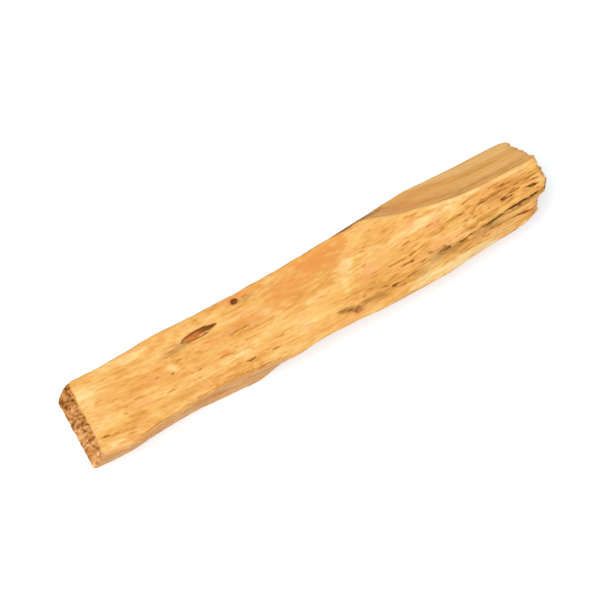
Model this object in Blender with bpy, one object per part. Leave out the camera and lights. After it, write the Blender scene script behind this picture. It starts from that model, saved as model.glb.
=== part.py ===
"""A palo santo stick: one split length of fragrant wood, sawn at one end and broken at the other.

It lies along X on its flat split underside, with the sawn end towards -X. Every size is in
millimetres: x runs along the stick from the sawn end, y runs across it towards the back, and
z is the height over the surface that it rests on. MM turns them into metres, and the finished
stick is centred on its own outline.
"""

import bmesh
import bpy
from mathutils import Vector, noise
from mathutils.bvhtree import BVHTree

MM = 0.001
LENGTH = 100.0

# The seven long edges of the stick: three over the top, two halfway down its sides and two
# where it stands. Each is a line of (x, y, z) points. The grain twists, so the edges wander.
FRONT_EDGE = [
    (0, -7.7, 12.0), (2, -8.2, 12.0), (6.5, -8.7, 11.8), (10, -8.1, 11.7), (14, -7.6, 11.6),
    (20, -7.15, 11.5), (28, -6.9, 11.3), (33, -7.1, 11.2), (38, -7.6, 11.1), (42.5, -8.6, 10.9),
    (48, -7.9, 10.8), (54, -8.0, 10.4), (61, -8.25, 9.9), (68, -8.15, 9.3), (76, -8.0, 8.8),
    (82, -7.3, 8.4), (88, -6.65, 8.1), (95, -6.25, 8.0), (101, -6.1, 8.0),
]
SPLIT_EDGE = [
    (46, -5.2, 11.6), (52, -5.4, 11.7), (57, -5.8, 11.8), (65, -5.7, 11.9), (71, -5.1, 12.1),
    (78, -4.4, 12.5), (83, -4.6, 12.6), (91, -4.0, 12.8), (101, -3.6, 13.0),
]
RIDGE = [
    (0, 8.1, 13.4), (4.5, 8.2, 13.4), (10, 7.85, 13.5), (20, 8.1, 13.7), (30, 7.55, 13.6),
    (40, 7.5, 13.8), (50, 7.8, 13.9), (58, 8.0, 14.1), (64, 8.1, 14.2), (67.5, 7.6, 14.4),
    (70, 6.35, 14.7), (73.5, 5.0, 15.0), (77, 4.1, 15.2), (81, 3.15, 15.3), (85, 2.45, 15.4),
    (90, 2.05, 15.5), (101, 1.85, 15.5),
]
BACK_KNEE = [
    (0, 9.6, 6.5), (12, 9.2, 6.8), (25, 9.7, 6.4), (40, 9.1, 7.0), (54, 9.3, 8.2), (62, 9.3, 10.5),
    (66, 9.7, 10.9), (70, 10.5, 9.6), (74, 11.2, 8.2), (80, 11.7, 7.5), (90, 11.3, 7.0),
    (101, 10.8, 6.9),
]
BACK_FOOT = [
    (0, 10.0, 0.3), (9, 9.7, 0.4), (22, 10.1, 0.2), (36, 9.3, 0.5), (50, 9.6, 0.3), (64, 9.2, 0.6),
    (76, 9.9, 0.3), (88, 9.8, 0.5), (101, 9.2, 0.9),
]
FRONT_FOOT = [
    (0, -5.2, 0.2), (4, -5.5, 0.2), (8, -5.7, 0.2), (12, -5.3, 0.3), (16, -5.0, 0.2),
    (23, -4.8, 0.2), (31, -5.2, 0.3), (35, -5.6, 0.4), (38, -5.2, 0.3), (41, -4.5, 0.2),
    (50, -3.8, 0.3), (64, -3.9, 0.4), (78, -3.6, 0.2), (90, -3.1, 0.3), (101, -2.8, 0.8),
]
FRONT_MIDDLE = [
    (0, -6.7, 6.0), (8, -7.2, 6.2), (16, -6.4, 6.0), (26, -5.9, 5.6), (35, -6.4, 4.6),
    (42, -6.3, 5.4), (52, -5.7, 5.6), (66, -6.1, 5.0), (80, -5.6, 4.6), (101, -4.8, 4.4),
]

# The folded strip under the split edge starts here, and is full by the second figure.
FOLD_FROM, FOLD_FULL = 46.0, 53.0

# Cells of the net that is drawn over the stick: along it, across it, and up its sides.
# The strip between the front edge and the split edge takes its own whole number of them.
CELLS = (54, 18, 13)
STRIP_SHARE = 5 / 18

# The saw cut leans a little: its start along x, and how far it runs on per mm across and up.
SAW_START, SAW_PER_Y, SAW_PER_Z = 0.05, 0.06, 0.1
SAW_ROUGHNESS, SAW_PITCH = 0.3, 1.3

# The broken end: how far it reaches past LENGTH around its outline, as (share, reach) steps.
# Slabs of wood snapped off one after another there, the strip first and the main slab last.
TOP_REACH = [
    (0.0, -5.5), (0.055, -3.4), (0.165, -2.8), (0.22, -0.6), (0.28, -0.1), (0.33, 0.4),
    (0.44, 0.8), (0.85, 1.1), (1.0, 0.9),
]
BACK_REACH = [(0.0, -2.6), (0.45, -2.0), (0.54, -0.5), (0.69, -0.4), (0.76, 0.6), (1.0, 0.9)]
FRONT_REACH = [(0.0, -4.4), (0.35, -3.6), (0.4, -5.1), (1.0, -5.5)]
UNDERSIDE_REACH = [(0.0, -4.4), (0.25, -4.1), (0.3, -2.9), (0.6, -3.4), (0.66, -2.4), (1.0, -2.6)]
LEDGE_STEP, LEDGES_ACROSS, LEDGES_UP = 1.5, 3.4, 7.2
END_REACH = 26.0

# Low relief of the split faces: ridges that run with the grain, and broad hollows.
RIDGE_HEIGHT, RIDGE_RUN, RIDGE_PITCH = 0.24, 15.0, 1.5
SWELL_HEIGHT, SWELL_RUN, SWELL_PITCH = 0.3, 22.0, 6.0
RELIEF_FROM_HEIGHT = 1.0
UNDERSIDE_HOLLOW, HOLLOW_RUN, HOLLOW_PITCH, FLAT_SHARE = 1.1, 24.0, 3.2, 0.12

# A shallow scoop off the back of the top face, where a long shaving came away. Its roundness
# is under 1, so that it has a plain rim.
SCOOP_X, SCOOP_Y = 53.5, 8.6
SCOOP_LENGTH, SCOOP_WIDTH, SCOOP_DEPTH, SCOOP_ROUNDNESS = 11.5, 8.6, 0.5, 0.6

# The sunken band between the two splits of the strip, which deepens towards the broken end.
# It lies between these shares of the strip's width.
BAND_DEPTH, BAND_FROM, BAND_FULL = 0.8, 82.0, 95.0
BAND_LOW, BAND_LOW_FULL, BAND_HIGH_FULL, BAND_HIGH = 0.45, 0.6, 0.9, 1.0
STRIP_INWARD = Vector((0.8, -0.6))

# Long ledges where the side faces tore: (from x, to x, height as a share of the side).
BACK_LEDGES = [(8.0, 46.0, 0.36), (58.0, 97.0, 0.12)]
FRONT_LEDGES = [(4.0, 33.0, 0.5), (60.0, 94.0, 0.45)]
LEDGE_CUT, LEDGE_RISE, LEDGE_RUN_OUT, LEDGE_FADE = 0.5, 0.05, 0.32, 7.0
LEDGE_WANDER, LEDGE_WANDER_RUN = 0.06, 9.0

# Splits that open towards the broken end. Each starts at x, follows a line a little below the
# split edge, and has a mouth and a depth at its open end.
MAIN_SPLIT = dict(start=84.0, stop=102.0, below=0.3, mouth=1.15, depth=3.4)
SECOND_SPLIT = dict(start=89.0, stop=99.0, below=2.6, mouth=0.6, depth=1.8)
SPLIT_INWARD = Vector((0.0, 0.86, -0.51))
STRIP_DOWN = Vector((0.0, -0.42, -0.9))
SPLIT_WANDER, SPLIT_WANDER_RUN = 0.12, 2.2

# At the start of a split, its mouth and depth as shares of those at its open end. It narrows
# inwards by the third share, and its cutter stands out of the wood by the last figure.
TIP_MOUTH, TIP_DEPTH, NARROWING, STAND_OUT = 0.12, 0.25, 0.85, 1.0

# Lens-shaped marks in the top face: x and y of the middle, length, width, depth.
GOUGE = (28.4, 4.15, 8.2, 1.25, 0.85)
KNOT_HOLE = (37.2, 6.1, 1.5, 1.0, 1.3)
PITS = [
    (98.3, -2.1, 2.6, 0.5, 0.6), (94.5, -1.4, 2.3, 0.45, 0.5), (91.8, -1.85, 1.4, 0.5, 0.45),
    (88.3, -2.05, 1.2, 0.45, 0.4), (85.0, -1.95, 1.6, 0.4, 0.4), (87.6, 0.0, 1.1, 0.5, 0.4),
    (82.2, -0.45, 1.6, 0.4, 0.35), (81.9, -4.35, 2.2, 0.5, 0.5), (77.5, -4.2, 1.3, 0.5, 0.45),
]

WOOD_COLOUR = (0.82, 0.44, 0.13, 1.0)
WOOD_ROUGHNESS = 0.62


def smooth_step(value, low, high):
    """0 at low, 1 at high, and an easy curve between. low may be the larger of the two."""
    share = min(max((value - low) / (high - low), 0.0), 1.0)
    return share * share * (3.0 - 2.0 * share)


def along(edge, x):
    """The (y, z) of a long edge at x, on a smooth curve through its points."""
    last = len(edge) - 1
    i = next((n for n in range(last - 1) if x < edge[n + 1][0]), last - 1)
    before, start, stop, after = edge[max(i - 1, 0)], edge[i], edge[i + 1], edge[min(i + 2, last)]
    span = stop[0] - start[0]
    t = min(max((x - start[0]) / span, 0.0), 1.0)
    found = []
    for axis in (1, 2):
        slope_in = (stop[axis] - before[axis]) / (stop[0] - before[0]) * span
        slope_out = (after[axis] - start[axis]) / (after[0] - start[0]) * span
        rise = stop[axis] - start[axis]
        curve = (slope_in + slope_out - 2 * rise) * t**3 + (3 * rise - 2 * slope_in - slope_out) * t**2
        found.append(start[axis] + curve + slope_in * t)
    return Vector(found)


def stepped(steps, share):
    """The reach at this share of a side of the broken end, straight between its steps."""
    for (low, start), (high, stop) in zip(steps, steps[1:]):
        if share <= high:
            return start + (stop - start) * (share - low) / (high - low)
    return steps[-1][1]


def bent(share, first, middle, last, bend):
    """A point on the line first, middle, last, whose middle is reached at the share bend."""
    if share < bend:
        return first.lerp(middle, share / bend)
    return middle.lerp(last, (share - bend) / (1.0 - bend))


def section_point(x, across, up):
    """The (y, z) of one point of the section at x. across and up run from 0 to 1."""
    front_edge, ridge = along(FRONT_EDGE, x), along(RIDGE, x)
    front_foot, back_foot = along(FRONT_FOOT, x), along(BACK_FOOT, x)
    fold = front_edge.lerp(ridge, STRIP_SHARE)
    fold = fold.lerp(along(SPLIT_EDGE, x), smooth_step(x, FOLD_FROM, FOLD_FULL))
    top = bent(across, front_edge, fold, ridge, STRIP_SHARE)
    underside = front_foot.lerp(back_foot, across)
    front = bent(up, front_foot, along(FRONT_MIDDLE, x), front_edge, 0.5)
    back = bent(up, back_foot, along(BACK_KNEE, x), ridge, 0.5)
    corners = underside.lerp(front_edge.lerp(ridge, across), up)
    return underside.lerp(top, up) + front.lerp(back, across) - corners


def broken_end(across, up):
    """How far the broken end reaches past LENGTH here: long slabs over shorter ones."""
    top, underside = stepped(TOP_REACH, across), stepped(UNDERSIDE_REACH, across)
    front, back = stepped(FRONT_REACH, up), stepped(BACK_REACH, up)
    low_corners = FRONT_REACH[0][1] * (1 - across) + BACK_REACH[0][1] * across
    high_corners = FRONT_REACH[-1][1] * (1 - across) + BACK_REACH[-1][1] * across
    reach = underside * (1 - up) + top * up + front * (1 - across) + back * across
    reach -= low_corners * (1 - up) + high_corners * up
    ledge = noise.cell(Vector((across * LEDGES_ACROSS + up, up * LEDGES_UP + across, 4.0)))
    return reach - LEDGE_STEP * ledge * smooth_step(up, 1.0, 0.8) * smooth_step(across, 1.0, 0.8)


def torn_back(x, up, ledges):
    """How far a side face is torn away above its long ledges."""
    cut = 0.0
    for start, stop, height in ledges:
        ends = smooth_step(x, start, start + LEDGE_FADE) * smooth_step(x, stop, stop - LEDGE_FADE)
        wander = LEDGE_WANDER * noise.noise(Vector((x / LEDGE_WANDER_RUN, height, 1.0)))
        step = smooth_step(up, height + wander, height + wander + LEDGE_RISE)
        cut += LEDGE_CUT * ends * step * smooth_step(up, height + LEDGE_RUN_OUT, height + LEDGE_RISE)
    return cut


def surface_point(share, across, up):
    """One point of the stick's skin, from its place on the unit box."""
    x = share * LENGTH
    y, z = section_point(x, across, up)
    sawn = SAW_START + SAW_PER_Y * y + SAW_PER_Z * z
    if share == 0.0:
        sawn += SAW_ROUGHNESS * noise.noise(Vector((y / SAW_PITCH, z / SAW_PITCH, 2.0)))
    x += sawn * smooth_step(x, END_REACH, 0.0)
    x += broken_end(across, up) * smooth_step(share * LENGTH, LENGTH - END_REACH, LENGTH)
    point = section_point(x, across, up)
    if up == 1.0:
        in_strip = across / STRIP_SHARE
        in_band = smooth_step(in_strip, BAND_LOW, BAND_LOW_FULL)
        in_band *= smooth_step(in_strip, BAND_HIGH, BAND_HIGH_FULL)
        point += STRIP_INWARD * (BAND_DEPTH * in_band * smooth_step(x, BAND_FROM, BAND_FULL))
        off_x, off_y = (x - SCOOP_X) / SCOOP_LENGTH, (point.x - SCOOP_Y) / SCOOP_WIDTH
        point.y -= SCOOP_DEPTH * max(0.0, 1.0 - off_x**2 - off_y**2) ** SCOOP_ROUNDNESS
    elif up == 0.0 and 0.0 < across < 1.0:
        hollow = noise.noise(Vector((x / HOLLOW_RUN, point.x / HOLLOW_PITCH, 5.0)))
        point.y = max(0.0, UNDERSIDE_HOLLOW * (hollow - FLAT_SHARE))
    elif across == 0.0:
        point.x += torn_back(x, up, FRONT_LEDGES)
    elif across == 1.0:
        point.x -= torn_back(x, up, BACK_LEDGES)
    return Vector((x, point.x, point.y))


def net_over_box(cells):
    """A unit box in a new bmesh, with its faces divided into so many cells on x, y and z."""
    bm = bmesh.new()
    bmesh.ops.create_cube(bm, size=1.0)
    bmesh.ops.translate(bm, verts=bm.verts, vec=(0.5, 0.5, 0.5))
    for axis, count in enumerate(cells):
        edges = [e for e in bm.edges if abs(e.verts[0].co[axis] - e.verts[1].co[axis]) > 0.5]
        bmesh.ops.subdivide_edges(bm, edges=edges, cuts=count - 1, use_grid_fill=True)
    return bm


def stick_body():
    """The whole stick before its splits and pits are cut."""
    bm = net_over_box(CELLS)
    for vert in bm.verts:
        vert.co = surface_point(*vert.co)
    bm.normal_update()
    for vert in bm.verts:
        x, y, z = vert.co
        ridges = noise.noise(Vector((x / RIDGE_RUN, y / RIDGE_PITCH, z / RIDGE_PITCH)))
        swell = noise.noise(Vector((x / SWELL_RUN, y / SWELL_PITCH, z / SWELL_PITCH + 9.0)))
        if z > RELIEF_FROM_HEIGHT:
            vert.co += vert.normal * (RIDGE_HEIGHT * ridges + SWELL_HEIGHT * swell)
    return bm


def split_cutter(start, stop, below, mouth, depth):
    """A thin wedge along the split edge, closed at its start and widest where it runs out."""
    bm = net_over_box((12, 2, 1))
    for vert in bm.verts:
        share, deep, side = vert.co
        x = start + (stop - start) * share
        mouth_at = Vector((x, *along(SPLIT_EDGE, x))) + STRIP_DOWN * below
        mouth_at += STRIP_DOWN * SPLIT_WANDER * noise.noise(Vector((x / SPLIT_WANDER_RUN, below, 3.0)))
        opening = mouth * (TIP_MOUTH + (1.0 - TIP_MOUTH) * share) * (1.0 - NARROWING * deep)
        sunk = (TIP_DEPTH + (1.0 - TIP_DEPTH) * share) * (depth + STAND_OUT) * deep - STAND_OUT
        vert.co = mouth_at + SPLIT_INWARD * sunk + STRIP_DOWN * opening * (side - 0.5)
    return bm


def pit_cutter(skin, x, y, length, width, depth):
    """A lens along the grain, sunk to its depth where the top face is at (x, y)."""
    bm = bmesh.new()
    bmesh.ops.create_uvsphere(bm, u_segments=10, v_segments=6, radius=0.5)
    bmesh.ops.scale(bm, vec=(length, width, 2.0 * depth), verts=bm.verts)
    top = skin.ray_cast(Vector((x, y, 2.0 * LENGTH)), Vector((0.0, 0.0, -1.0)))[0]
    bmesh.ops.translate(bm, verts=bm.verts, vec=top)
    return bm


def wood_material():
    material = bpy.data.materials.new("split palo santo wood")
    material.use_nodes = True
    shader = material.node_tree.nodes["Principled BSDF"]
    shader.inputs["Base Color"].default_value = WOOD_COLOUR
    shader.inputs["Roughness"].default_value = WOOD_ROUGHNESS
    shader.inputs["Metallic"].default_value = 0.0
    return material


def add_object(name, bm, collection, middle):
    """Makes an object in metres of a bmesh in millimetres, with middle as the new origin."""
    bmesh.ops.translate(bm, verts=bm.verts, vec=-middle)
    bmesh.ops.scale(bm, vec=(MM, MM, MM), verts=bm.verts)
    bmesh.ops.recalc_face_normals(bm, faces=bm.faces)
    mesh = bpy.data.meshes.new(name)
    bm.to_mesh(mesh)
    bm.free()
    obj = bpy.data.objects.new(name, mesh)
    collection.objects.link(obj)
    return obj


for old in list(bpy.data.objects):
    bpy.data.objects.remove(old, do_unlink=True)

parts = bpy.data.collections.new("palo_santo_stick")
cutters = bpy.data.collections.new("cutters")
bpy.context.scene.collection.children.link(parts)
bpy.context.scene.collection.children.link(cutters)

body = stick_body()
skin = BVHTree.FromBMesh(body)
reach_x = [vert.co.x for vert in body.verts]
reach_y = [vert.co.y for vert in body.verts]
middle = Vector((min(reach_x) + max(reach_x), min(reach_y) + max(reach_y), 0.0)) / 2.0

cuts = [split_cutter(**MAIN_SPLIT), split_cutter(**SECOND_SPLIT)]
cuts += [pit_cutter(skin, *pit) for pit in [GOUGE, KNOT_HOLE, *PITS]]
stick = add_object("palo_santo_stick", body, parts, middle)
stick.data.materials.append(wood_material())
for number, cut in enumerate(cuts):
    cutter = add_object(f"cutter_{number:02d}", cut, cutters, middle)
    cutter.hide_render = True
    cutter.display_type = "WIRE"
    boolean = stick.modifiers.new(f"cut {number:02d}", "BOOLEAN")
    boolean.operation = "DIFFERENCE"
    boolean.solver = "EXACT"
    boolean.object = cutter
stick.data.shade_smooth()
stick.data.set_sharp_from_angle(angle=0.6)
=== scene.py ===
"""The looks of a palo santo stick: a split length of fragrant wood, sawn square at one end
and broken at the other, on a plain white floor.

Sizes are in millimetres in the solid's own frame: x runs along the grain towards the broken
end, y runs across towards the smooth back face and z is the height over the floor.
"""

import math

import bmesh
import bpy
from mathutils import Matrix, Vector, bvhtree, kdtree, noise


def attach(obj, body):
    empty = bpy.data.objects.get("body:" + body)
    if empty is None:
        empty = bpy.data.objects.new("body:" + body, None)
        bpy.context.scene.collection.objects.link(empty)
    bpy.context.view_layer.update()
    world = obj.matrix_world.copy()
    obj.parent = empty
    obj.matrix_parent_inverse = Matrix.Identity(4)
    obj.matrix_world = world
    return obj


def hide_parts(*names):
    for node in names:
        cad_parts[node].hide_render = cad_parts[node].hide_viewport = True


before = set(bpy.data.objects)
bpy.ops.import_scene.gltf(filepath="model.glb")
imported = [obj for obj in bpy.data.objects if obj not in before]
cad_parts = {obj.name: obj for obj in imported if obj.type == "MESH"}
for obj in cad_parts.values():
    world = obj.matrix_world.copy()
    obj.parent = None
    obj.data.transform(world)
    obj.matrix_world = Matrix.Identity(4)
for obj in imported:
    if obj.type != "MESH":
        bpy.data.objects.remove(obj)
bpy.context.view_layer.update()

# The wood: its skin.
# One length of split heartwood. It is divided into cells much longer than they are wide, as
# wood fibres are, so that the grain, the pores and the torn fibres at its ends are real shapes.
MM = 0.001
SAME_PLACE = 1e-7

# The skin's cells are SKIN_CELL wide, and longer along the grain, because the stick is shortened
# to GRAIN_SHARE of its length while it is divided. Past END_ZONE it is smoothed fewer times,
# which keeps the splinters sharp.
SKIN_CELL, GRAIN_SHARE = 0.175, 0.36
SKIN_SMOOTHINGS, END_SMOOTHINGS, END_ZONE, SMOOTHING = 3, 1, 43.0, 0.5


def fine_skin(solid):
    """A closed skin over the solid, in millimetres, with cells drawn out along the grain."""
    bm = bmesh.new()
    bm.from_mesh(solid.data)
    bmesh.ops.remove_doubles(bm, verts=bm.verts, dist=SAME_PLACE)
    bmesh.ops.scale(bm, vec=(GRAIN_SHARE / MM, 1.0 / MM, 1.0 / MM), verts=bm.verts)
    mesh = bpy.data.meshes.new("shortened stick")
    bm.to_mesh(mesh)
    shortened = bpy.data.objects.new("shortened_stick", mesh)
    bpy.context.scene.collection.objects.link(shortened)
    cells = shortened.modifiers.new("cells", "REMESH")
    cells.mode = "VOXEL"
    cells.voxel_size = SKIN_CELL
    depsgraph = bpy.context.evaluated_depsgraph_get()
    divided = bpy.data.meshes.new_from_object(shortened.evaluated_get(depsgraph))
    bm.clear()
    bm.from_mesh(divided)
    bmesh.ops.scale(bm, vec=(1.0 / GRAIN_SHARE, 1.0, 1.0), verts=bm.verts)
    bpy.data.objects.remove(shortened)
    for turn in range(SKIN_SMOOTHINGS):
        verts = [v for v in bm.verts if turn < END_SMOOTHINGS or v.co.x < END_ZONE]
        bmesh.ops.smooth_vert(
            bm, verts=verts, factor=SMOOTHING, use_axis_x=True, use_axis_y=True, use_axis_z=True)
    bm.normal_update()
    return bm


def smooth_step(value, low, high):
    """0 at low, 1 at high, and an easy curve between. low may be the larger of the two."""
    share = min(max((value - low) / (high - low), 0.0), 1.0)
    return share * share * (3.0 - 2.0 * share)


def at(line, x):
    """The value of a line of (x, value) points at x."""
    for (low, start), (high, stop) in zip(line, line[1:]):
        if x <= high:
            return start + (stop - start) * min(max((x - low) / (high - low), 0.0), 1.0)
    return line[-1][1]


skin = fine_skin(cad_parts["palo_santo_stick"])

# The wood: its faces.
# Where each face lies, for its relief and its colour: the sawn end, the broken end, the
# smooth back face behind the ridge, and the side below the front edge.
# The ends are told by how much the skin faces along x, within the pairs of values here.
SAWN_X, BROKEN_X = -46.5, 36.0
SAWN_FACING, BROKEN_FACING = (0.45, 0.7), (0.4, 0.7)
RIDGE = [
    (-50.6, 6.9), (-20.0, 6.3), (-0.6, 6.6), (13.4, 6.9), (16.9, 6.3), (19.4, 5.1), (22.9, 3.8),
    (26.4, 2.9), (30.4, 1.95), (34.4, 1.25), (39.4, 0.8), (49.0, 0.6),
]
FRONT_EDGE = [
    (-50.6, -8.7), (-48.7, -9.1), (-43.3, -9.6), (-40.0, -9.1), (-37.1, -8.7), (-33.2, -8.4), (-25.5, -8.0),
    (-19.7, -8.0), (-15.9, -8.4), (-11.1, -8.8), (-6.3, -9.3), (0.0, -9.9), (50.6, -9.9),
]
FRONT_EDGE_HEIGHT = [
    (-50.6, 11.6), (-22.6, 11.0), (-8.0, 10.6), (10.4, 9.9), (25.4, 8.8), (37.4, 8.1), (50.6, 8.0),
]

# How softly the back face starts behind the ridge and the side below the front edge, and how
# far and how quickly these borders wander.
BACK_BORDER, SIDE_BORDER = (-0.1, 0.3), (-0.05, 0.25)
BORDER_WANDER, WANDER_RUN = 0.15, 5.0

# The side's duller colour breaks up into spots of fresh wood where its strip runs out: the
# middle of that place, where it ends along the stick and downwards, and the spots' size, their
# soft edge and how fresh they are.
STRIP_END_X, STRIP_END_REACH, STRIP_END_DOWN = -14.6, (2.6, 0.6), (3.2, 1.2)
SPOT_SIZE, SPOT_EDGE, SPOT_FRESHNESS = 0.9, (-0.1, 0.25), 0.7

# The saw's marks on the sawn end lean this much to the side for each millimetre up.
SAW_SLANT = 0.35

# The grain drifts towards the front at first and runs straight further on: how far it has
# gone over in y at each x.
GRAIN_DRIFT = [(-50.6, 0.0), (-36.0, 2.0), (-20.0, 3.0), (0.0, 3.6), (20.0, 3.6), (50.6, 2.6)]

# The top face is weathered towards the broken end, apart from its rim along the ridge, and its
# grain curls in patches before the middle. Each pair is where that starts or ends along x, or
# behind the ridge.
WEATHERED_FROM, WEATHERED_WANDER, FRESH_RIM = (10.0, 34.0), 0.6, (-0.4, -1.4)
CURLED_FROM, CURLED_TO = (-38.0, -30.0), (-8.0, -16.0)
CURL_PATCH, CURL_PATCH_EDGE, CURL_PATCH_LAYER = 5.0, (-0.1, 0.3), 8.0

sawn_end = skin.verts.layers.float.new("sawn_end")
broken_end = skin.verts.layers.float.new("broken_end")
back_face = skin.verts.layers.float.new("back_face")
side_face = skin.verts.layers.float.new("side_face")
weathered = skin.verts.layers.float.new("weathered")
curled = skin.verts.layers.float.new("curled")
grain = skin.verts.layers.float_vector.new("grain")
for vert in skin.verts:
    x, y, z = vert.co
    wander = noise.noise(Vector((x / WANDER_RUN, y, z)))
    vert[sawn_end] = smooth_step(-vert.normal.x, *SAWN_FACING) * (x < SAWN_X)
    vert[broken_end] = smooth_step(vert.normal.x, *BROKEN_FACING) * (x > BROKEN_X)
    on_a_length = 1.0 - max(vert[sawn_end], vert[broken_end])
    behind = y - at(RIDGE, x)
    vert[back_face] = on_a_length * smooth_step(behind + BORDER_WANDER * wander, *BACK_BORDER)
    below = max(at(FRONT_EDGE_HEIGHT, x) - z, at(FRONT_EDGE, x) - y) + BORDER_WANDER * wander
    vert[side_face] = (on_a_length - vert[back_face]) * smooth_step(below, *SIDE_BORDER)
    spots = smooth_step(noise.noise(vert.co / SPOT_SIZE), *SPOT_EDGE)
    near_strip_end = smooth_step(abs(x - STRIP_END_X), *STRIP_END_REACH)
    near_strip_end *= smooth_step(below, *STRIP_END_DOWN)
    vert[side_face] *= 1.0 - SPOT_FRESHNESS * spots * near_strip_end
    vert[grain] = (x, behind, z) if behind > 0.0 else (x, y + at(GRAIN_DRIFT, x), z)
    if vert[sawn_end] > 0.0:
        vert[grain] = (x, y + SAW_SLANT * z, z)
    vert[weathered] = smooth_step(x + WEATHERED_WANDER * wander, *WEATHERED_FROM)
    vert[weathered] *= smooth_step(behind, *FRESH_RIM)
    patches = noise.noise(Vector((x / CURL_PATCH, y / CURL_PATCH, CURL_PATCH_LAYER)))
    vert[curled] = smooth_step(x, *CURLED_FROM) * smooth_step(x, *CURLED_TO)
    vert[curled] *= smooth_step(patches, *CURL_PATCH_EDGE)

# The wood: its marks.
# Flecks, cracks and stains, drawn from above into the skin as layers that the finish reads. The mark layers
# also carry painted shade under the roofs of the splits.
# The flecks and cracks are also real openings, sunk by MARK_DEPTH.
# They reach into the openings' roofs down to ROOF_DOWN_TO and down the back to BACK_DOWN_TO,
# and leave out the floor of the main split, which lies behind SPLIT_FLOOR_Y past SPLITS_FROM.
MARK_DEPTH = 0.28
ROOF_DOWN_TO, SPLITS_FROM, SPLIT_FLOOR_Y = 12.0, 33.0, -5.6
BACK_DOWN_TO = [(-50.6, 11.0), (16.0, 11.0), (22.0, 8.0), (50.6, 6.0)]

# The photo's camera looks steeply down from the front, turned round the stick by CAMERA_TURN,
# and PICTURE_WIDTH of the stick's plane fills the PICTURE_PIXELS of a row. In the picture the
# stick leans by STICK_LEAN, and its middle lies STICK_MIDDLE pixels right of the picture's
# middle and below it.
CAMERA_TURN, CAMERA_HEIGHT = math.radians(30.6), math.radians(68.0)
CAMERA_AIM, CAMERA_DISTANCE = Vector((-3.48, -3.13, 19.04)), 2000.0
PICTURE_WIDTH, PICTURE_PIXELS = 113.2, 600
STICK_LEAN, STICK_MIDDLE = math.radians(28.7), (3.0, 6.0)
PIXEL = PICTURE_WIDTH / PICTURE_PIXELS

looking = Vector((
    math.sin(CAMERA_TURN) * math.cos(CAMERA_HEIGHT),
    math.cos(CAMERA_TURN) * math.cos(CAMERA_HEIGHT),
    -math.sin(CAMERA_HEIGHT),
))
picture_right = Vector((math.cos(CAMERA_TURN), -math.sin(CAMERA_TURN), 0.0))
picture_up = picture_right.cross(looking)
camera_at = CAMERA_AIM - looking * CAMERA_DISTANCE
wood_skin = bvhtree.BVHTree.FromBMesh(skin)


def seen_at(along, across):
    """Where the wood is that the picture shows, so many pixels along and across the stick."""
    right = STICK_MIDDLE[0] + math.cos(STICK_LEAN) * along + math.sin(STICK_LEAN) * across
    down = STICK_MIDDLE[1] - math.sin(STICK_LEAN) * along + math.cos(STICK_LEAN) * across
    aim = CAMERA_AIM + (picture_right * right - picture_up * down) * PIXEL
    return wood_skin.ray_cast(camera_at, (aim - camera_at).normalized())[0]


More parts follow.
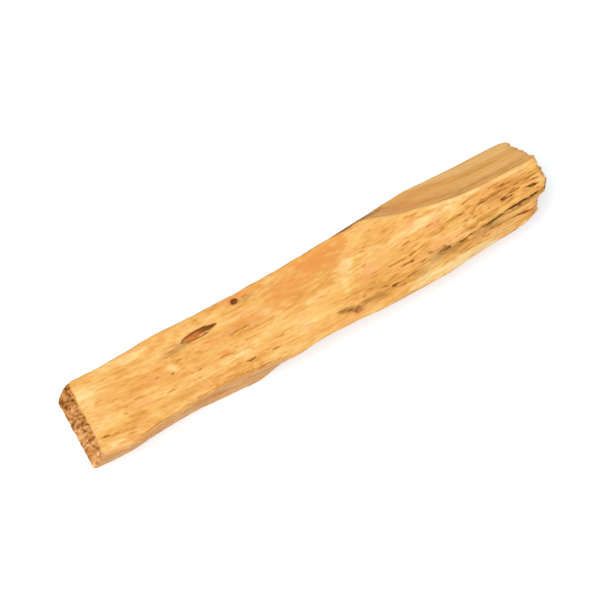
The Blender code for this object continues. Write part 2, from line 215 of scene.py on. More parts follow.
# Each fleck lies along the grain, and stands here as it is seen in the picture: its place along
# and across the stick from the middle, its length and its width in pixels, and its strength.
FLECKS = [
    (-236, 19.7, 12, 2.1, 0.6), (-225, 22, 9, 2.4, 0.45), (-208, 25.5, 18, 2, 0.3), (-210, 29.5, 9, 2, 0.4),
    (-207, 9.5, 6, 2.2, 0.4), (-186, 2.2, 14, 1.6, 0.4), (-162, -7, 8, 2, 0.5), (-146, -3.3, 5, 2.6, 0.7),
    (-155, 4, 5, 2, 0.35), (-155, 11, 14, 1.8, 0.45), (-134, -12.3, 6, 2, 0.45), (-228, -14, 5, 2, 0.3),
    (-189, 28.5, 8, 2.5, 0.3), (-121, 6, 5, 2, 0.45), (-123, 13, 5, 1.8, 0.3), (-90, 6.2, 12, 2.1, 0.6),
    (-87, 12.5, 6, 1.8, 0.3), (-64, 12.5, 5, 2.4, 0.35), (-77, 20.8, 8, 1.5, 0.4), (-70, 22, 10, 2.4, 0.75),
    (-58, 23, 12, 1.6, 0.3), (-42, 24.2, 10, 2.2, 0.6), (-34, 15.2, 11, 2, 0.55), (-72, -10, 14, 1.6, 0.35),
    (-61, -9.5, 10, 1.8, 0.45), (-13, -5, 14, 1.6, 0.35), (-30, -28, 24, 1.6, 0.25), (-9, -31, 8, 2, 0.4),
    (3, -28, 6, 1.6, 0.35), (21.5, -39.2, 6, 2.6, 0.55), (29, -38.8, 8, 1.6, 0.3), (68, -36, 5, 2, 0.35),
    (94, -35, 6, 2.4, 0.45), (102, -38, 6, 1.6, 0.3), (90, -29, 8, 1.8, 0.35), (78, -20, 6, 1.5, 0.3),
    (93, -14, 8, 1.6, 0.3), (73, -6, 5, 3, 0.4), (100, 7, 14, 2.1, 0.5), (111, 7, 8, 1.8, 0.45),
    (120, 7, 8, 2.1, 0.5), (124, 5.5, 5, 1.9, 0.4), (106, 13, 16, 1.8, 0.5), (117, 12.7, 6, 2.4, 0.75),
    (59, 21.2, 5, 2, 0.45), (80, 22, 10, 1.5, 0.3), (92, 25.6, 9, 2.2, 0.7), (98, 29, 10, 1.8, 0.4),
    (111, 24.5, 14, 2, 0.45), (45, 30.5, 5, 3, 0.6), (48, 29, 4, 2, 0.5), (50, 31, 3, 2, 0.5),
    (43, 32, 3, 2, 0.4), (31, 23.2, 12, 1.6, 0.5), (40, 26.2, 8, 1.6, 0.5), (49, 26.8, 6, 1.6, 0.45),
    (61, 26.2, 7, 1.6, 0.3), (25, 30.3, 3, 2, 0.3), (152, -10, 5, 1.9, 0.3), (158, -8, 6, 1.6, 0.25),
    (167, -8, 5, 1.6, 0.25), (174, -8, 8, 1.9, 0.25), (179, -5, 5, 2.1, 0.35), (176, -20, 5, 1.9, 0.3),
    (207, -7.5, 5, 2.4, 0.5), (216, -6, 6, 1.9, 0.3), (222, -7, 4, 1.9, 0.3), (193, 0.8, 3, 1.9, 0.35),
    (185, 3.7, 6, 1.9, 0.45), (194, 3.8, 7, 1.9, 0.45), (201, 4.3, 6, 1.6, 0.35), (211, 3.7, 6, 1.9, 0.45),
    (212, 0, 10, 1.3, 0.25), (196, 9, 8, 2.9, 0.25), (228, 2, 8, 2.1, 0.7), (236, 2.5, 6, 1.6, 0.45),
    (240, 0.2, 11, 1.6, 0.55), (245, -0.3, 5, 1.9, 0.6), (236, -5, 5, 1.9, 0.4), (247, -4.5, 8, 1.3, 0.3),
    (244, -10, 16, 1.3, 0.3), (258, -10, 10, 1.9, 0.45), (259, -5, 9, 1.3, 0.35), (250, 4, 8, 1.3, 0.3),
    (264, 9, 6, 1.3, 0.4), (174, 18.8, 13, 2.4, 0.75), (167, 18.5, 8, 1.9, 0.4), (152, 18.5, 10, 3.2, 0.7),
    (153.5, 14.5, 3, 2.9, 0.7), (160, 13.5, 6, 1.9, 0.4), (146, 19, 6, 1.9, 0.4), (138, 14.5, 8, 2.4, 0.5),
    (145, 15, 6, 1.9, 0.45), (127, 18.3, 7, 2.1, 0.5), (186, 12.5, 8, 1.3, 0.3), (163, 24.5, 12, 1.9, 0.3),
    (209, 23.2, 8, 1.3, 0.4),
]

# Cracks and dark edges: points of x, y, width and strength. First the two splits that run in
# from the broken end and a dash beside them, then the rims, the bottom and the dark half of the
# gouge, the knot hole, the dark streak at the top of the back and the arc beside the knot.
CRACKS = [
    [(34.2, -5.7, 0.2, 0.35), (38.1, -5.45, 0.25, 0.6), (42.1, -5.1, 0.3, 0.9), (44.9, -5.05, 0.4, 1.0),
     (47.4, -5.0, 0.45, 1.0), (48.8, -5.05, 0.45, 1.0)],
    [(36.5, -6.1, 0.25, 0.3), (43.0, -6.1, 0.25, 0.5), (44.6, -6.3, 0.4, 0.9), (45.9, -6.4, 0.45, 0.9)],
    [(45.6, -3.1, 0.2, 0.6), (47.6, -3.3, 0.28, 0.9), (49.2, -3.5, 0.25, 0.8)],
    [(-26.0, 2.85, 0.3, 0.8), (-24.7, 3.25, 0.4, 1.0), (-22.0, 3.4, 0.5, 1.1), (-20.4, 3.3, 0.45, 1.0)],
    [(-26.0, 2.85, 0.25, 0.7), (-24.5, 2.5, 0.4, 1.0), (-23.0, 2.3, 0.5, 1.3), (-20.6, 2.45, 0.5, 1.2)],
    [(-25.2, 2.9, 0.9, 0.5), (-22.4, 3.0, 1.2, 0.75)],
    [(-22.4, 3.15, 0.45, 0.8), (-20.6, 3.05, 0.65, 1.0), (-19.0, 2.95, 0.45, 1.1), (-18.2, 2.9, 0.25, 1.0)],
    [(-13.4, 5.0, 0.75, 1.7), (-13.1, 4.9, 0.85, 1.7)],
    [(9.5, 6.7, 0.4, 0.4), (12.5, 6.9, 0.7, 0.65), (16.0, 7.4, 0.75, 0.65), (20.0, 8.2, 0.7, 0.5),
     (21.5, 8.5, 0.3, 0.4)],
    [(-14.2, 5.2, 0.35, 0.35), (-13.4, 5.5, 0.35, 0.4), (-12.6, 5.3, 0.35, 0.5), (-12.3, 4.7, 0.3, 0.4)],
]

# Long thin furrows between the fibres near the broken end.
CRACKS += [
    [(38.5, -0.35, 0.15, 0.15), (43.0, -0.25, 0.2, 0.3), (47.6, -0.35, 0.15, 0.2)],
    [(41.0, -1.05, 0.15, 0.2), (44.5, -0.95, 0.2, 0.35), (48.4, -1.15, 0.15, 0.25)],
    [(34.0, -1.55, 0.15, 0.15), (41.5, -1.7, 0.2, 0.3), (45.5, -1.6, 0.25, 0.4), (49.3, -1.95, 0.2, 0.4)],
    [(43.0, -2.25, 0.15, 0.3), (46.0, -2.35, 0.25, 0.45), (49.3, -2.65, 0.3, 0.55)],
    [(37.5, -3.95, 0.15, 0.2), (44.0, -3.95, 0.2, 0.3), (48.6, -4.15, 0.2, 0.35)],
    [(30.0, -4.3, 0.15, 0.2), (34.0, -4.45, 0.2, 0.3), (38.0, -4.6, 0.15, 0.2)],
]

# The grooves that run just behind the ridge, past the first x, and just inside the front edge.
RIDGE_GROOVE_FROM, RIDGE_GROOVE_BEHIND = 30.0, 0.3
EDGE_GROOVE_FROM, EDGE_GROOVE_TO, EDGE_GROOVE_BEHIND = -45.0, -10.0, 0.1
CRACKS.append([(x, y + RIDGE_GROOVE_BEHIND, 0.4, 0.35) for x, y in RIDGE if x > RIDGE_GROOVE_FROM])
edge_part = [(x, y) for x, y in FRONT_EDGE if EDGE_GROOVE_FROM < x < EDGE_GROOVE_TO]
CRACKS.append([(x, y + EDGE_GROOVE_BEHIND, 0.45, 0.35) for x, y in edge_part])

# Stains and other soft changes of colour: x, y to x, y, width, strength.
# The grey band just behind the ridge, from x 32 to 48.5, is painted shade on the steep back face; the others
# are grey stains.
GREY_STAINS_AND_SHADE = [
    (-30.5, 2.3, -24.5, 2.2, 1.2, 0.8), (-13.4, 4.4, -9.0, 4.5, 1.2, 0.5), (2.4, -6.6, 6.2, -7.0, 0.7, 1.0),
    (4.4, -7.2, 7.8, -7.7, 1.0, 1.0), (7.0, -7.3, 12.6, -7.3, 0.9, 0.9), (19.0, -7.2, 23.0, -7.1, 1.0, 0.5),
    (22.0, -5.9, 31.0, -6.3, 1.7, 0.8), (33.0, -6.1, 46.0, -5.9, 1.3, 0.45),
    (34.0, -4.3, 40.0, -4.3, 0.9, 0.5), (37.0, -2.2, 42.0, -2.2, 1.2, 0.5), (32.0, 2.3, 48.5, 1.8, 1.5, 0.4),
    (10.5, 7.1, 20.5, 7.8, 1.4, 1.0),
]
RED_STAINS = [
    (-46.5, 5.2, -44.4, 4.6, 0.7, 1.0), (-21.5, -2.7, -17.2, -3.6, 1.1, 1.0),
    (-25.4, 2.9, -21.4, 2.95, 1.2, 1.1), (-16.0, 5.5, -7.5, 5.1, 1.4, 0.5),
    (-17.0, 1.2, -8.0, 0.3, 2.4, 0.45), (20.0, 7.2, 30.0, 4.0, 3.2, 0.7), (-14.6, 5.2, -12.0, 4.9, 1.7, 0.7),
    (43.5, -6.2, 46.2, -6.4, 0.8, 0.9), (41.0, -3.0, 42.2, -3.0, 0.8, 0.8), (5.5, -8.2, 7.6, -8.4, 0.8, 0.6),
    (24.0, 6.0, 34.0, 4.6, 2.4, 0.4), (0.0, 4.4, 9.5, 5.0, 2.4, 0.4),
]
DEEP_STAINS = [
    (-8.5, 2.4, 3.0, 2.6, 6.0, 1.0), (-2.0, 4.4, 10.5, 5.2, 3.6, 1.3), (1.0, 3.4, 8.4, 3.9, 3.0, 1.3),
    (6.0, 3.6, 13.0, 6.4, 3.0, 1.2), (34.0, -0.8, 47.0, -1.4, 3.6, 0.6), (-12.0, 1.4, -2.0, 0.6, 2.6, 0.7),
    (-39.0, 0.2, -33.0, -0.6, 3.4, 0.6), (-33.5, 1.5, -30.5, -3.5, 2.4, 0.6),
    (14.0, 4.5, 20.0, 3.4, 3.0, 0.4), (-23.0, 0.0, -19.5, 0.0, 1.6, 0.5), (23.0, 5.6, 36.0, 2.6, 1.6, 0.6),
]
YELLOW_STAINS = [
    (-3.0, -3.8, 6.0, -4.2, 3.0, 0.9), (-14.0, -6.4, -5.0, -6.6, 2.4, 0.6),
    (-45.0, 1.0, -41.0, -0.5, 2.4, 0.5), (-49.0, -4.0, -42.0, -4.6, 2.6, 0.5),
    (24.0, -2.0, 34.0, -2.6, 2.4, 0.5), (34.0, -1.0, 39.0, -1.2, 1.2, 0.5),
]
# Pale patches of the wood, with the ridge's painted highlight added to this list below.
PALE_PATCHES_AND_HIGHLIGHT = [
    (-49.0, 4.4, -46.0, 0.5, 3.4, 0.7), (-40.0, 5.1, -33.5, 5.0, 1.4, 0.7),
    (-49.2, -3.6, -42.0, -4.6, 2.6, 0.7), (-49.0, -7.8, -45.2, -8.3, 1.1, 1.0),
    (-2.0, -8.9, 16.0, -9.1, 1.4, 0.6), (-31.0, 0.4, -29.0, -1.6, 1.6, 0.8),
    (-18.0, -5.0, -13.0, -4.5, 1.6, 0.7), (-11.0, 1.8, -7.5, -0.4, 2.2, 0.8),
    (6.0, -0.8, 11.0, 1.8, 2.6, 1.1), (7.6, 0.8, 6.4, -4.2, 1.5, 0.75), (-2.0, -2.2, 5.4, -1.6, 1.4, 0.6),
    (18.0, -8.6, 46.0, -8.2, 2.0, 1.1), (17.0, 0.6, 33.5, 0.3, 1.1, 0.9), (-3.0, -5.6, 5.0, -5.8, 1.2, 0.5),
]

# Painted highlight: the pale rim in front of the ridge, past the first x, where the edge catches the light.
HIGHLIGHT_RIM_FROM, HIGHLIGHT_RIM_BEFORE = 25.0, 0.55
for (x0, y0), (x1, y1) in zip(RIDGE, RIDGE[1:]):
    if x0 > HIGHLIGHT_RIM_FROM:
        PALE_PATCHES_AND_HIGHLIGHT.append((x0, y0 - HIGHLIGHT_RIM_BEFORE, x1, y1 - HIGHLIGHT_RIM_BEFORE, 0.7, 0.9))

# Stains reach past their oval by STAIN_REACH times their width, and fade from inside it
# outwards over STAIN_EDGE. Their edges are ragged along the grain.
STAIN_REACH, STAIN_EDGE = 1.5, (1.4, 0.4)
STAIN_RAGGED, STAIN_RAGGED_RUN, STAIN_RAGGED_PITCH = 0.8, 1.6, 0.5

places = kdtree.KDTree(len(skin.verts))
for index, vert in enumerate(skin.verts):
    x, y, z = vert.co
    seen_from_above = z > at(BACK_DOWN_TO, x) if y > 0.0 else vert.normal.z > 0.0 or z > ROOF_DOWN_TO
    on_split_floor = x > SPLITS_FROM and SPLIT_FLOOR_Y < y < 0.0 and z < ROOF_DOWN_TO
    if seen_from_above and not on_split_floor and max(vert[sawn_end], vert[side_face]) < 0.5:
        places.insert((x, y, 0.0), index)
places.balance()
skin.verts.ensure_lookup_table()


def near_line(x0, y0, x1, y1, reach):
    """Each upper vertex near a line: the vertex, its place from 0 to 1 along it and how far off it is."""
    start, line = Vector((x0, y0, 0.0)), Vector((x1 - x0, y1 - y0, 0.0))
    for co, index, _ in places.find_range(start + line / 2.0, line.length / 2.0 + reach):
        share = (co - start).dot(line) / line.length_squared
        yield skin.verts[index], share, (co - start - line * share).length


# The mark layers hold the flecks and cracks, and also the painted shade under the splits' roofs.
mark_and_shade = skin.verts.layers.float.new("mark_and_shade")
mark_and_shade_strength = skin.verts.layers.float.new("mark_and_shade_strength")


# Draws flecks, cracks and the painted shade of the splits into the mark layers.
def draw_mark_and_shade(vert, nearness, strength):
    """Nearness is 1 in the middle of a mark, a half at its edge and 0 as far again outside."""
    if nearness > vert[mark_and_shade]:
        vert[mark_and_shade], vert[mark_and_shade_strength] = nearness, strength


for along, across, length, width, strength in FLECKS:
    x, y = seen_at(along, across).xy
    length, width = length * PIXEL, width * PIXEL
    steps = (-length / 2.0, length / 2.0)
    ends = [(x + step, y + at(GRAIN_DRIFT, x) - at(GRAIN_DRIFT, x + step)) for step in steps]
    for vert, share, away in near_line(*ends[0], *ends[1], length):
        draw_mark_and_shade(vert, 1.0 - math.hypot(2.0 * share - 1.0, 2.0 * away / width) / 2.0, strength)
for crack in CRACKS:
    for (x0, y0, width0, strength0), (x1, y1, width1, strength1) in zip(crack, crack[1:]):
        for vert, share, away in near_line(x0, y0, x1, y1, 2.0 * max(width0, width1)):
            along = min(max(share, 0.0), 1.0)
            past = (share - along) * math.hypot(x1 - x0, y1 - y0)
            width = width0 + (width1 - width0) * along
            strength = strength0 + (strength1 - strength0) * along
            draw_mark_and_shade(vert, 1.0 - math.hypot(away, past) / width, strength)


# Painted shade: what lies under the roofs of the two splits at the broken end is painted dark all over,
# wherever a ray towards the light meets a roof.
SPLITS_ACROSS, SPLITS_ABOVE = (-6.8, -1.5), 7.5
HOLLOW_SHADE_STRENGTH, HOLLOW_SHADE_FULL, ROOF_REACH, OFF_THE_SKIN = 0.9, (32.0, 43.0), 3.0, 0.03
TOWARDS_LIGHT = Vector((0.0, -0.1, 1.0))
hollow_shade = skin.verts.layers.float.new("hollow_shade")
for vert in skin.verts:
    x, y, z = vert.co
    if x > SPLITS_FROM and SPLITS_ACROSS[0] < y < SPLITS_ACROSS[1] and z > SPLITS_ABOVE:
        start = vert.co + vert.normal * OFF_THE_SKIN
        if wood_skin.ray_cast(start, TOWARDS_LIGHT, ROOF_REACH)[0]:
            vert[hollow_shade] = 1.0
            draw_mark_and_shade(vert, 1.0, HOLLOW_SHADE_STRENGTH * smooth_step(x, *HOLLOW_SHADE_FULL))


def draw_stains(name, stains):
    """Draws soft oval patches into a new layer."""
    drawn = skin.verts.layers.float.new(name)
    for x0, y0, x1, y1, width, strength in stains:
        for vert, share, away in near_line(x0, y0, x1, y1, STAIN_REACH * width):
            off = math.hypot(2.0 * share - 1.0, 2.0 * away / width)
            x, y, z = vert.co
            pitch = STAIN_RAGGED_PITCH
            off += STAIN_RAGGED * noise.noise(Vector((x / STAIN_RAGGED_RUN, y / pitch, z / pitch)))
            vert[drawn] = max(vert[drawn], strength * smooth_step(off, *STAIN_EDGE))
    return drawn


draw_stains("grey_and_shade", GREY_STAINS_AND_SHADE)
draw_stains("red", RED_STAINS)
deep = draw_stains("deep", DEEP_STAINS)
draw_stains("yellow", YELLOW_STAINS)
draw_stains("pale_and_highlight", PALE_PATCHES_AND_HIGHLIGHT)

# The end grain is darker towards the back.
END_DARKER_FROM = (-4.0, 6.0)
for vert in skin.verts:
    if vert[sawn_end] > 0.0:
        vert[deep] = smooth_step(vert.co.y, *END_DARKER_FROM)

# The wood: its relief.
# The faces were split, not planed, so they show ridges of fibres and thin torn flakes, and
# curled grain on the top face before the gouge. The saw left the end grain rough and porous.
# The broken end is torn along the grain.
# A run is the length of a form along the grain and a pitch is its width. Where two forms have
# noise of their own, a layer says which.
FIBRE_RUN, FIBRE_PITCH, FIBRE_HEIGHT = 8.0, 0.6, 0.11
FLAKE_RUN, FLAKE_PITCH, FLAKE_LAYER, FLAKE_EDGE, FLAKE_HEIGHT = 6.0, 1.3, 7.0, (0.0, 0.12), 0.1
GROOVE_RUN, GROOVE_PITCH, GROOVE_LAYER = 13.0, 1.1, 13.0
GROOVE_DEPTH, GROOVE_OPEN, FRESH_GROOVES = 0.2, 0.12, 0.3
CURL_RUN, CURL_PITCH, CURL_LAYER, CURL_HEIGHT = 1.1, 1.8, 3.0, 0.08
END_PITCH, END_HEIGHT = 0.45, 0.26
END_POOL_PITCH, END_POOL_LAYER, END_POOL_HEIGHT = 1.6, 20.0, 0.2
TORN_RUN, TORN_PITCH, TORN_LAYER, TORN_REACH = 6.0, 1.3, 5.0, 0.8
TORN_FINE_PITCH, TORN_FINE_REACH = 0.5, 0.2
TORN_OUT, TORN_OUT_FROM = 0.25, (-7.2, -5.2)

# The back face is smoother than the others by this share. Marks are sunk from their edge
# inwards, and only where the skin faces upwards. The relief fades out above the flat underside.
SMOOTHER_BACK = 0.6
MARK_EDGE, FACING_UP = (0.35, 0.75), (0.0, 0.4)
FLAT_BELOW, RELIEF_ABOVE = 0.25, 0.8


def relief(vert):
    """How far the wood stands out at a vertex of the skin, in millimetres."""
    x, y, z = vert[grain]
    fibres = noise.noise(Vector((x / FIBRE_RUN, y / FIBRE_PITCH, z / FIBRE_PITCH)))
    flakes = noise.noise(Vector((x / FLAKE_RUN, y / FLAKE_PITCH, z / FLAKE_PITCH + FLAKE_LAYER)))
    curls = noise.noise(Vector((x / CURL_RUN, y / CURL_PITCH, z / CURL_PITCH + CURL_LAYER)))
    grooves = noise.noise(Vector((x / GROOVE_RUN, y / GROOVE_PITCH, z / GROOVE_PITCH + GROOVE_LAYER)))
    depth = GROOVE_DEPTH * (FRESH_GROOVES + (1.0 - FRESH_GROOVES) * vert[weathered])
    out = FIBRE_HEIGHT * fibres + FLAKE_HEIGHT * smooth_step(flakes, *FLAKE_EDGE)
    out -= depth * smooth_step(abs(grooves), GROOVE_OPEN, 0.0)
    return out + CURL_HEIGHT * curls * vert[curled]


moves = []
for vert in skin.verts:
    x, y, z = vert.co
    on_end = max(vert[sawn_end], vert[broken_end])
    move = vert.normal * relief(vert) * (1.0 - on_end) * (1.0 - SMOOTHER_BACK * vert[back_face])
    if vert[sawn_end] > 0.0:
        rough = END_HEIGHT * noise.noise(vert.co / END_PITCH)
        pools = END_POOL_HEIGHT * noise.noise(Vector((x, y, z + END_POOL_LAYER)) / END_POOL_PITCH)
        move += vert.normal * (rough + pools) * vert[sawn_end]
    if x > BROKEN_X:
        coarse = noise.noise(Vector((x / TORN_RUN, y / TORN_PITCH, z / TORN_PITCH + TORN_LAYER)))
        fine = noise.noise(Vector((x / TORN_RUN, y / TORN_FINE_PITCH, z / TORN_FINE_PITCH)))
        torn = TORN_REACH * coarse + TORN_OUT * smooth_step(y, *TORN_OUT_FROM) + TORN_FINE_REACH * fine
        move.x += torn * vert[broken_end]
    # The painted shade under the splits' roofs only darkens and is not sunk.
    sunk = vert[mark_and_shade_strength] * smooth_step(vert[mark_and_shade], *MARK_EDGE) * (1.0 - vert[hollow_shade])
    move -= vert.normal * MARK_DEPTH * sunk * smooth_step(vert.normal.z, *FACING_UP)
    moves.append(move * smooth_step(z, FLAT_BELOW, RELIEF_ABOVE))
for vert, move in zip(skin.verts, moves):
    vert.co += move

bmesh.ops.scale(skin, vec=(MM, MM, MM), verts=skin.verts)
mesh = bpy.data.meshes.new("palo_santo_wood")
skin.to_mesh(mesh)
skin.free()
mesh.shade_smooth()
wood = bpy.data.objects.new("palo_santo_wood", mesh)
bpy.context.scene.collection.objects.link(wood)

# The wood: its finish.
# Bare resinous heartwood, yellow-orange with fine lengthwise fibres and brown flecks. The back face is a
# smoother tan, the sides are duller and darker, partly in their own colour and partly by painted shade, and
# the sawn end shows dark pores.
SHADES = [
    (0.0, (0.034, 0.012, 0.004)), (0.1, (0.096, 0.031, 0.007)), (0.25, (0.234, 0.087, 0.017)),
    (0.4, (0.46, 0.193, 0.038)), (0.55, (0.68, 0.297, 0.06)), (0.7, (0.823, 0.428, 0.116)),
    (0.85, (0.877, 0.563, 0.206)), (1.0, (0.885, 0.665, 0.314)),
]
TAN_SHADES = [
    (0.0, (0.20, 0.09, 0.02)), (0.3, (0.48, 0.23, 0.06)), (0.5, (0.72, 0.34, 0.085)),
    (0.7, (0.82, 0.42, 0.125)), (1.0, (0.88, 0.54, 0.20)),
]
# The sides' colours are darker than the top's: painted shade on faces turned away from the light, over their
# own duller colour.
SIDE_COLOURS_WITH_SHADE = [
    (0.0, (0.15, 0.06, 0.02)), (0.3, (0.35, 0.155, 0.055)), (0.5, (0.54, 0.25, 0.085)),
    (0.7, (0.65, 0.315, 0.11)), (1.0, (0.80, 0.45, 0.18)),
]
END_SHADES = [
    (0.0, (0.13, 0.034, 0.001)), (0.2, (0.24, 0.073, 0.002)), (0.38, (0.42, 0.158, 0.018)),
    (0.55, (0.61, 0.262, 0.066)), (0.75, (0.78, 0.39, 0.155)), (1.0, (0.88, 0.55, 0.29)),
]
RED_WOOD = (0.74, 0.22, 0.05, 1.0)
SIDE_RED = (0.66, 0.25, 0.08, 1.0)
GREY_TINT = (0.42, 0.42, 0.47, 1.0)
DEEP_WOOD = (0.77, 0.305, 0.066, 1.0)
YELLOW_WOOD = (0.85, 0.50, 0.12, 1.0)
PINK_WOOD = (0.84, 0.37, 0.14, 1.0)
PALE_WOOD = (0.90, 0.66, 0.34, 1.0)
ROUGHNESS, SHINE = 0.7, 0.1
BUMP_STRENGTH, BUMP_DEPTH = 0.5, 0.15 * MM

# Where each face lies on its ramp, from dark at 0 to light at 1.
TOP_TONE, BACK_TONE, SIDE_TONE, END_TONE = 0.72, 0.64, 0.83, 0.575

# What the layers and the fine dark patterns add to the tone. The patterns add the second value
# as far as the wood is weathered.
PALE_ADDS, DEEP_ADDS, MARKS_AND_SHADE_ADD = 0.2, -0.05, -0.5
LINES_ADD, FURROWS_ADD, FLECKS_ADD = (-0.03, -0.24), -0.26, (-0.12, -0.22)
CLOUDS_VARY, CURLS_VARY = (0.45, -0.2), 0.35
BACK_DEEP_ADDS, END_DEEP_ADDS, SIDE_MARKS_ADD = -0.12, -0.14, -0.4

# How far the stains' own colours cover the wood.
DEEP_COVERS, DEEP_MOST, PALE_COVERS = 0.65, 0.9, 0.5
YELLOW_COVERS, RED_COVERS, GREY_COVERS = 0.3, 0.45, 0.7

finish = bpy.data.materials.new("split palo santo")
finish.use_nodes = True
nodes, links = finish.node_tree.nodes, finish.node_tree.links
shader = nodes["Principled BSDF"]
shader.inputs["Roughness"].default_value = ROUGHNESS
shader.inputs["Specular IOR Level"].default_value = SHINE


def join(value, socket):
    """Links a socket, or sets a plain number or colour on it."""
    if isinstance(value, bpy.types.NodeSocket):
        links.new(value, socket)
    else:
        socket.default_value = value


def layer(name, output="Fac"):
    """A layer of the skin."""
    node = nodes.new("ShaderNodeAttribute")
    node.attribute_name = name
    return node.outputs[output]


def maths(operation, first, second=0.0, third=0.0):
    """A sum on plain numbers and sockets."""
    node = nodes.new("ShaderNodeMath")
    node.operation = operation
    for value, socket in zip((first, second, third), node.inputs):
        join(value, socket)
    return node.outputs["Value"]


def pattern(long, wide, offset, detail=3.0, roughness=0.55, drift=0.0, tall=None):
    """Noise drawn out along the grain, so many millimetres long and wide, and as tall as it is wide."""
    place = nodes.new("ShaderNodeMapping")
    place.inputs["Scale"].default_value = (1.0 / long, 1.0 / wide, 1.0 / (tall or wide))
    place.inputs["Location"].default_value = (offset, offset, offset)
    links.new(layer("grain", "Vector"), place.inputs["Vector"])
    cloud = nodes.new("ShaderNodeTexNoise")
    cloud.inputs["Scale"].default_value = 1.0
    cloud.inputs["Detail"].default_value = detail
    cloud.inputs["Roughness"].default_value = roughness
    cloud.inputs["Distortion"].default_value = drift
    links.new(place.outputs["Vector"], cloud.inputs["Vector"])
    return cloud.outputs["Fac"]


def spread(value, low, high, to_low=0.0, to_high=1.0):
    """The value from low to high, drawn out smoothly from to_low to to_high."""
    node = nodes.new("ShaderNodeMapRange")
    node.interpolation_type = "SMOOTHSTEP"
    for name, number in (("From Min", low), ("From Max", high), ("To Min", to_low), ("To Max", to_high)):
        node.inputs[name].default_value = number
    links.new(value, node.inputs["Value"])
    return node.outputs["Result"]


def varied(value, *shares):
    """The value with each (pattern, amount) added to it, as much lighter as darker."""
    for noise_value, amount in shares:
        centred = maths("SUBTRACT", noise_value, 0.5)
        value = maths("MULTIPLY_ADD", centred, amount, value)
    return value


def shaded(value, shades):
    """A ramp through the shades, read at the value."""
    ramp = nodes.new("ShaderNodeValToRGB")
    stops = ramp.color_ramp.elements
    stops.remove(stops[-1])
    stops[0].position, stops[0].color = shades[0][0], (*shades[0][1], 1.0)
    for place, colour in shades[1:]:
        stops.new(place).color = (*colour, 1.0)
    links.new(value, ramp.inputs["Fac"])
    return ramp.outputs["Color"]


def mix(share, below, above, blend="MIX"):
    """The colour below with the colour above laid over it by share."""
    node = nodes.new("ShaderNodeMix")
    node.data_type = "RGBA"
    node.blend_type = blend
    sockets = {s.identifier: s for s in node.inputs}
    for name, value in (("Factor_Float", share), ("A_Color", below), ("B_Color", above)):
        join(value, sockets[name])
    return next(s for s in node.outputs if s.identifier == "Result_Color")


streaks = pattern(24.0, 2.4, 5.0, detail=2.0)
fibres = pattern(7.0, 0.8, 11.0, detail=4.0, roughness=0.65)
fine_fibres = pattern(1.9, 0.45, 17.0, detail=2.0, roughness=0.6)
clouds = pattern(9.0, 3.4, 47.0, detail=2.0)
curls = pattern(1.6, 2.6, 23.0, detail=2.0, drift=1.2)
lines = maths("ABSOLUTE", maths("SUBTRACT", pattern(22.0, 1.5, 29.0, detail=2.0), 0.5))
lines = spread(lines, 0.0, 0.045, 1.0, 0.0)
lines = maths("MULTIPLY", lines, spread(pattern(9.0, 2.4, 37.0, detail=1.0), 0.42, 0.6))
furrows = maths("ABSOLUTE", maths("SUBTRACT", pattern(9.0, 0.9, 31.0, detail=2.0), 0.5))
furrows = spread(furrows, 0.0, 0.05, 1.0, 0.0)
furrows = maths("MULTIPLY", furrows, spread(pattern(4.0, 1.1, 33.0, detail=1.0), 0.46, 0.58))
flecks = spread(pattern(2.8, 0.36, 41.0, detail=1.0), 0.57, 0.7)
flecks = maths("MULTIPLY", flecks, spread(pattern(9.0, 3.0, 43.0, detail=1.0), 0.38, 0.58))

# The drawn marks and the painted shade under the splits' roofs, frayed along the fibres.
edge = varied(layer("mark_and_shade"), (pattern(1.3, 0.3, 19.0, detail=2.0), 1.5))
frayed = maths("MULTIPLY", spread(edge, 0.38, 0.68), layer("mark_and_shade_strength"))

weathered = layer("weathered")
cloudy = maths("MULTIPLY_ADD", weathered, CLOUDS_VARY[1], CLOUDS_VARY[0])
value = varied(TOP_TONE, (streaks, 0.35), (fibres, 0.42), (fine_fibres, 0.4), (clouds, cloudy))
value = varied(value, (curls, maths("MULTIPLY", layer("curled"), CURLS_VARY)))
# The pale layer lightens the pale patches and paints the highlight along the ridge.
value = maths("MULTIPLY_ADD", layer("pale_and_highlight"), PALE_ADDS, value)
value = maths("MULTIPLY_ADD", lines, maths("MULTIPLY_ADD", weathered, LINES_ADD[1], LINES_ADD[0]), value)
value = maths("MULTIPLY_ADD", furrows, maths("MULTIPLY", weathered, FURROWS_ADD), value)
value = maths("MULTIPLY_ADD", flecks, maths("MULTIPLY_ADD", weathered, FLECKS_ADD[1], FLECKS_ADD[0]), value)
value = maths("MULTIPLY_ADD", layer("deep"), DEEP_ADDS, value)
# The marks and the painted shade under the splits' roofs darken the tone.
marked = maths("MULTIPLY_ADD", frayed, MARKS_AND_SHADE_ADD, value)
colour = shaded(marked, SHADES)
colour = mix(spread(pattern(7.0, 3.0, 71.0), 0.5, 0.75, 0.0, 0.6), colour, YELLOW_WOOD)
colour = mix(spread(pattern(5.0, 2.4, 73.0), 0.5, 0.75, 0.0, 0.6), colour, PINK_WOOD)
colour = mix(maths("MINIMUM", maths("MULTIPLY", layer("deep"), DEEP_COVERS), DEEP_MOST), colour, DEEP_WOOD)
colour = mix(spread(layer("pale_and_highlight"), 0.5, 1.6, 0.0, PALE_COVERS), colour, PALE_WOOD)
colour = mix(maths("MULTIPLY", layer("yellow"), YELLOW_COVERS), colour, YELLOW_WOOD)
colour = mix(spread(frayed, 0.2, 0.9), colour, shaded(marked, SHADES))

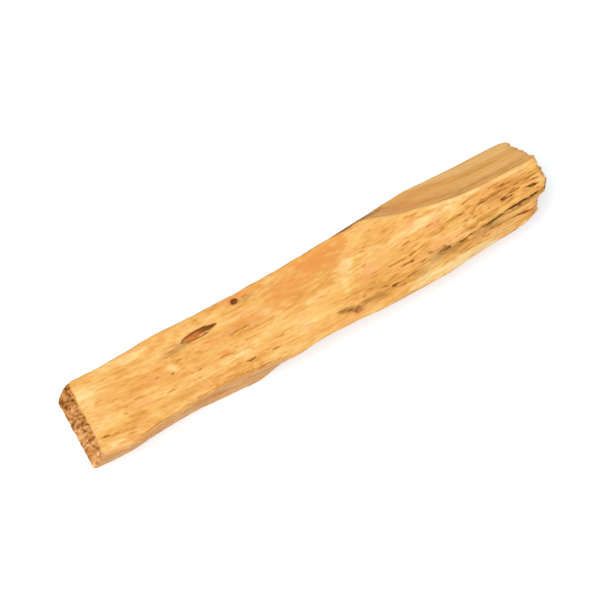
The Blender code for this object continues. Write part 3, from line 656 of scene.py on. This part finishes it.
# The back face, the sides and the sawn end.
back_value = varied(BACK_TONE, (pattern(30.0, 2.2, 51.0, detail=4.0), 1.1), (fine_fibres, 0.4))
back_value = varied(back_value, (pattern(6.0, 0.7, 53.0), 0.35), (pattern(16.0, 5.0, 59.0, detail=1.0), 0.5))
back_value = maths("MULTIPLY_ADD", layer("deep"), BACK_DEEP_ADDS, back_value)
back_value = maths("MULTIPLY_ADD", frayed, SIDE_MARKS_ADD, back_value)
colour = mix(layer("back_face"), colour, shaded(back_value, TAN_SHADES))
# The side's darker ramp carries painted shade as well as its own duller colour.
side_streaks = pattern(12.0, 1.6, 57.0, detail=4.0)
side_value = varied(SIDE_TONE, (side_streaks, 1.0), (fine_fibres, 0.5), (fibres, 0.35))
side_value = maths("MULTIPLY_ADD", frayed, SIDE_MARKS_ADD, side_value)
side_red = spread(pattern(4.0, 1.6, 77.0), 0.45, 0.7, 0.0, 0.5)
colour = mix(layer("side_face"), colour, mix(side_red, shaded(side_value, SIDE_COLOURS_WITH_SHADE), SIDE_RED))
end_spots = pattern(1.2, 0.62, 61.0, detail=2.0, roughness=0.6, tall=2.8)
end_value = varied(END_TONE, (end_spots, 1.55), (pattern(2.0, 1.7, 67.0, detail=1.0, tall=5.0), 0.7))
end_value = maths("MULTIPLY_ADD", layer("deep"), END_DEEP_ADDS, end_value)
colour = mix(layer("sawn_end"), colour, shaded(end_value, END_SHADES))

# The stains that lie over every face, and the painted shade of the grey band behind the ridge.
colour = mix(maths("MULTIPLY", layer("red"), RED_COVERS), colour, RED_WOOD)
grey_and_shade_share = maths("MINIMUM", maths("MULTIPLY", layer("grey_and_shade"), GREY_COVERS), 1.0)
colour = mix(grey_and_shade_share, colour, GREY_TINT, "MULTIPLY")
links.new(colour, shader.inputs["Base Color"])

bump = nodes.new("ShaderNodeBump")
bump.inputs["Strength"].default_value = BUMP_STRENGTH
bump.inputs["Distance"].default_value = BUMP_DEPTH
links.new(value, bump.inputs["Height"])
links.new(bump.outputs["Normal"], shader.inputs["Normal"])

wood.data.materials.append(finish)
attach(wood, "root")
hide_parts("palo_santo_stick")

# The floor.
# A plain white sweep under soft light, so bright that only a faint shadow shows on it.
FLOOR_HALF = 3.0
PAPER, PAPER_ROUGHNESS, PAPER_GLOW = (0.60, 0.67, 0.74, 1.0), 0.9, 0.48
WHITE = (1.0, 1.0, 1.0, 1.0)
floor_bm = bmesh.new()
bmesh.ops.create_grid(floor_bm, x_segments=1, y_segments=1, size=FLOOR_HALF)
floor_mesh = bpy.data.meshes.new("floor")
floor_bm.to_mesh(floor_mesh)
floor_bm.free()
floor = bpy.data.objects.new("floor", floor_mesh)
bpy.context.scene.collection.objects.link(floor)
paper = bpy.data.materials.new("white paper")
paper.use_nodes = True
sheet = paper.node_tree.nodes["Principled BSDF"]
sheet.inputs["Base Color"].default_value = PAPER
sheet.inputs["Roughness"].default_value = PAPER_ROUGHNESS
sheet.inputs["Specular IOR Level"].default_value = 0.0
sheet.inputs["Emission Color"].default_value = WHITE
sheet.inputs["Emission Strength"].default_value = PAPER_GLOW
floor_mesh.materials.append(paper)

# The light.
# A white tent all round and one large softbox above, a little to the front and left.
TENT = 0.42
SOFTBOX_AT, SOFTBOX_SIZE, SOFTBOX_WATTS = Vector((-0.43, -0.23, 1.21)), 0.9, 14.7
world = bpy.data.worlds.new("white tent")
bpy.context.scene.world = world
world.use_nodes = True
world.node_tree.nodes["Background"].inputs["Color"].default_value = WHITE
world.node_tree.nodes["Background"].inputs["Strength"].default_value = TENT
lamp = bpy.data.lights.new("softbox", "AREA")
lamp.size = SOFTBOX_SIZE
lamp.energy = SOFTBOX_WATTS
softbox = bpy.data.objects.new("softbox", lamp)
softbox.location = SOFTBOX_AT
softbox.rotation_mode = "QUATERNION"
softbox.rotation_quaternion = (-SOFTBOX_AT).to_track_quat("-Z", "Y")
bpy.context.scene.collection.objects.link(softbox)
bpy.context.scene.view_settings.view_transform = "Standard"

# The camera.
# It stands where the marks of the wood are seen from, with a long lens that fits
# PICTURE_WIDTH of the stick's plane into the picture.
SENSOR, SEES_TO = 36.0, 10.0
lens = bpy.data.cameras.new("camera")
lens.sensor_width = SENSOR
lens.lens = SENSOR * CAMERA_DISTANCE / PICTURE_WIDTH
lens.clip_end = SEES_TO
camera = bpy.data.objects.new("camera", lens)
camera.location = camera_at * MM
camera.rotation_mode = "QUATERNION"
camera.rotation_quaternion = looking.to_track_quat("-Z", "Y")
bpy.context.scene.collection.objects.link(camera)
bpy.context.scene.camera = camera

bpy.context.view_layer.update()
